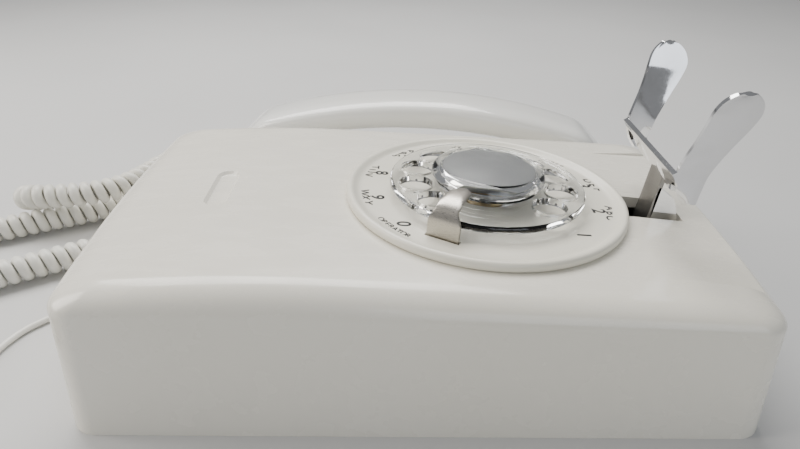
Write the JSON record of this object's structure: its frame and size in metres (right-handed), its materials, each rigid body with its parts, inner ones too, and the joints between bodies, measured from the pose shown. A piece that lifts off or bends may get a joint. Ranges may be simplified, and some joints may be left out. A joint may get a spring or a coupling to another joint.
{
  "type": "rotary wall telephone",
  "caption": "Rotary wall telephone lying on its back, with a clear finger wheel, a forked metal hook, a handset laid beside it, a curly handset cord and a line cord with a plug.",
  "frame": {"origin": "on the back plane and the middle line, 25 mm below the dial's axis as the telephone hangs", "axes": "+X runs to the top of the telephone as it hangs, +Y to its left side, +Z out of its front"},
  "size_m": [0.3653, 0.282, 0.107],
  "materials": {
    "ivory": "glossy moulded ivory plastic",
    "handset": "glossy moulded off-white plastic",
    "plate": "satin cream plastic with printed characters",
    "clear": "clear moulded acrylic",
    "card": "grey printed card",
    "chrome": "bright nickel-chrome plate",
    "satin": "satin steel",
    "zinc": "zinc-plated steel",
    "brass": "machined brass",
    "black": "black moulded phenolic",
    "copper": "enamelled copper winding",
    "cord": "off-white flexible vinyl",
    "plug": "clear moulded plastic"
  },
  "bodies": {
    "case": {"housing_shell": "ivory", "base_plate": "zinc", "housing_screw_bracket": "zinc", "housing_screw": "zinc", "housing_latch_left": "zinc", "housing_latch_right": "zinc", "handset_cord_strain_relief": "cord", "line_cord_strain_relief": "cord", "dial_number_plate": "plate", "finger_stop": "satin", "dial_frame": "zinc", "dial_bearing_bush": "brass", "governor_cup": "brass", "pulse_contact_block": "black", "dial_bracket_left": "zinc", "dial_bracket_right": "zinc", "hook_bracket": "zinc", "hook_pivot_pin": "zinc", "hook_torsion_spring": "zinc", "hookswitch_contacts": "black", "gong_large": "brass", "gong_small": "brass", "gong_post_large": "zinc", "gong_post_small": "zinc", "gong_screw_large": "zinc", "gong_screw_small": "zinc", "ringer_frame": "zinc", "ringer_core": "zinc", "ringer_coil": "copper", "clapper_pivot_pin": "zinc", "volume_wheel_stud": "zinc", "network_block": "black", "network_terminal_1": "brass", "network_terminal_2": "brass", "network_terminal_3": "brass", "line_terminal_block": "black", "handset_cord": "cord", "line_cord": "cord", "line_cord_tail": "cord", "line_cord_coil": "cord", "cord_tie": "black", "line_plug": "plug"},
    "dial": {"finger_wheel": "clear", "hub_cap": "clear", "dial_centre_card": "card", "dial_shaft": "zinc", "main_gear": "brass", "pulse_cam": "black"},
    "intermediate": {"intermediate_gear": "brass"},
    "governor": {"governor_rotor": "brass"},
    "hook": {"hook_fork": "chrome", "hook_lever": "zinc"},
    "clapper": {"clapper": "zinc"},
    "volume_wheel": {"ringer_volume_wheel": "cord"},
    "handset": {"handset_handle": "handset", "receiver_cap": "handset", "transmitter_cap": "handset", "receiver_unit": "zinc", "transmitter_unit": "zinc", "handset_cord_bush": "cord"}
  },
  "joints": [
    {"name": "dial_turn", "type": "hinge", "parent": "case", "child": "dial", "pos_m": [0.025, 0, 0.0526], "axis": [0.05, 0, 0.9988], "range_deg": [-330, 0], "stiffness_Nm_per_rad": 0.01, "springref_deg": 171.89},
    {"name": "intermediate_turn", "type": "hinge", "parent": "case", "child": "intermediate", "pos_m": [0.03998, 0.02598, 0.05185], "axis": [0.05, 0, 0.9988], "range_deg": [0, 1320]},
    {"name": "governor_turn", "type": "hinge", "parent": "case", "child": "governor", "pos_m": [0.02031, 0.02945, 0.05284], "axis": [0.05, 0, 0.9988], "range_deg": [-5280, 0]},
    {"name": "hook_swing", "type": "hinge", "parent": "case", "child": "hook", "pos_m": [0.088, 0, 0.013], "axis": [0, 1, 0], "range_deg": [-5, 0], "stiffness_Nm_per_rad": 0.6, "springref_deg": 5.73},
    {"name": "clapper_swing", "type": "hinge", "parent": "case", "child": "clapper", "pos_m": [-0.045, 0, 0.018], "axis": [0, 0, 1], "range_deg": [-3.5, 3.5], "stiffness_Nm_per_rad": 0.002},
    {"name": "volume_turn", "type": "hinge", "parent": "case", "child": "volume_wheel", "pos_m": [-0.114, -0.042, 0.007], "axis": [0, 0, 1], "range_deg": [-60, 60]},
    {"name": "handset_lift", "type": "slide", "parent": "case", "child": "handset", "axis": [0, 0, 1], "range_m": [0, 0.15]}
  ],
  "couplings": [
    {"joint": "intermediate_turn", "follows": "dial_turn", "ratio": -4},
    {"joint": "governor_turn", "follows": "dial_turn", "ratio": 16}
  ]
}
